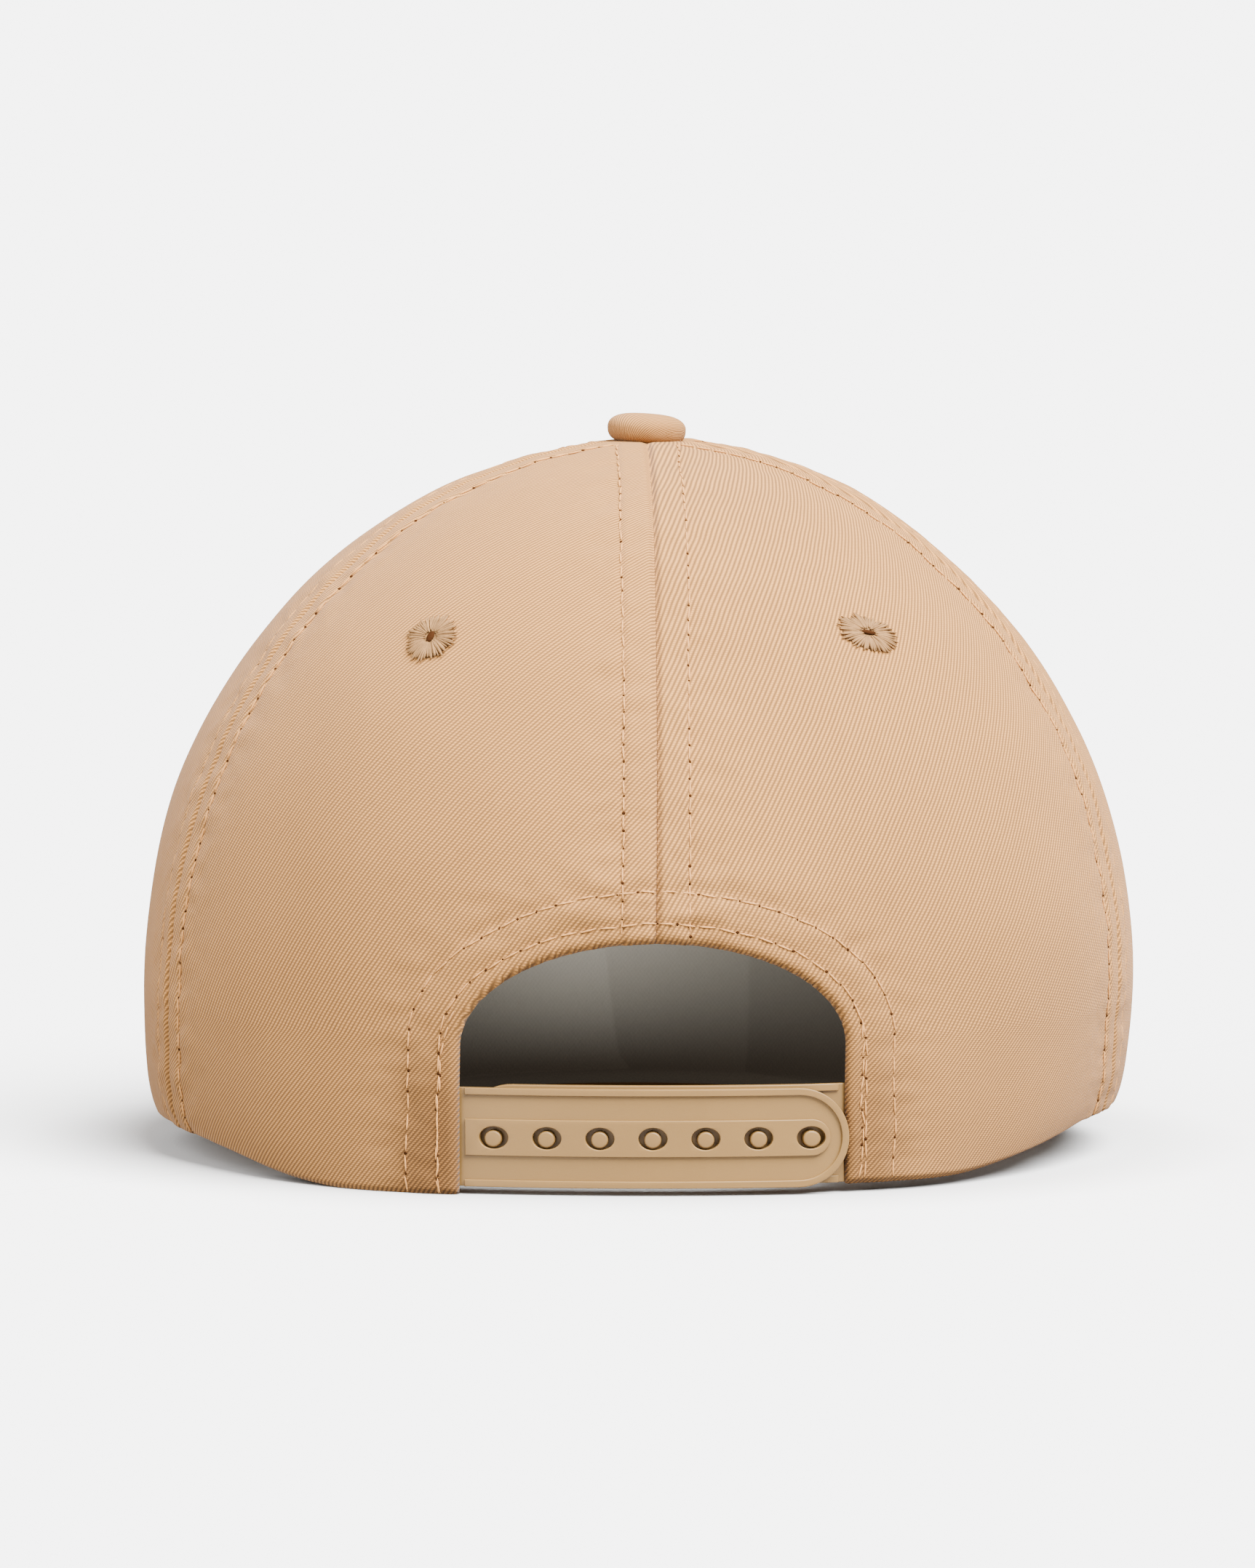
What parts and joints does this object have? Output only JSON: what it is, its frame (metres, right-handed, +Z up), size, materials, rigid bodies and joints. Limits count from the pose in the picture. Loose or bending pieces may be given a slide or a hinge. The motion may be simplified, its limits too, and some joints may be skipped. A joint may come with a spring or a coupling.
{
  "type": "baseball cap",
  "caption": "Low-profile twill baseball cap with a curved visor, covered button, embroidered eyelets, rear arch and a plastic snap strap that opens.",
  "frame": {"origin": "on the table that the cap stands on, under the middle of the whole cap's box", "axes": "+Z up, +Y towards the visor, +X towards the wearer's right"},
  "size_m": [0.196, 0.264, 0.1462],
  "materials": {
    "twill": "tan cotton twill",
    "thread": "tan polyester thread with a soft sheen",
    "strap_plastic": "khaki moulded plastic, satin",
    "buckram": "stiff open-weave cloth",
    "lining_tape": "tan woven tape",
    "sweatband_cloth": "dark brown soft cloth",
    "board_plastic": "plain sheet",
    "rivet_metal": "plain"
  },
  "bodies": {
    "crown": {"front_panel": "twill", "side_right_panel": "twill", "side_left_panel": "twill", "back_right_panel": "twill", "back_left_panel": "twill", "front_buckram": "buckram", "seam_tape_back": "lining_tape", "seam_tape_rear_right": "lining_tape", "seam_tape_rear_left": "lining_tape", "seam_tape_front_right": "lining_tape", "seam_tape_front_left": "lining_tape", "arch_facing": "lining_tape", "sweatband": "sweatband_cloth", "button_cover": "twill", "button_rivet": "rivet_metal", "eyelet_back_right": "thread", "eyelet_back_left": "thread", "eyelet_side_right": "thread", "eyelet_side_left": "thread", "visor_upper_cloth": "twill", "visor_board": "board_plastic", "visor_lower_cloth": "twill", "hole_strap_root": "strap_plastic", "peg_strap_root": "strap_plastic"},
    "hole_strap_arm": {"hole_strap": "strap_plastic"},
    "peg_strap_arm": {"peg_strap": "strap_plastic"}
  },
  "joints": [
    {"name": "hole_strap_flex", "type": "hinge", "parent": "crown", "child": "hole_strap_arm", "pos_m": [-0.0365, -0.12517, 0.011], "axis": [0, 0, -1], "range_deg": [0, 90], "stiffness_Nm_per_rad": 0.002},
    {"name": "peg_strap_flex", "type": "hinge", "parent": "crown", "child": "peg_strap_arm", "pos_m": [0.0365, -0.12419, 0.0115], "axis": [0, 0, -1], "range_deg": [0, 45], "stiffness_Nm_per_rad": 0.002}
  ]
}
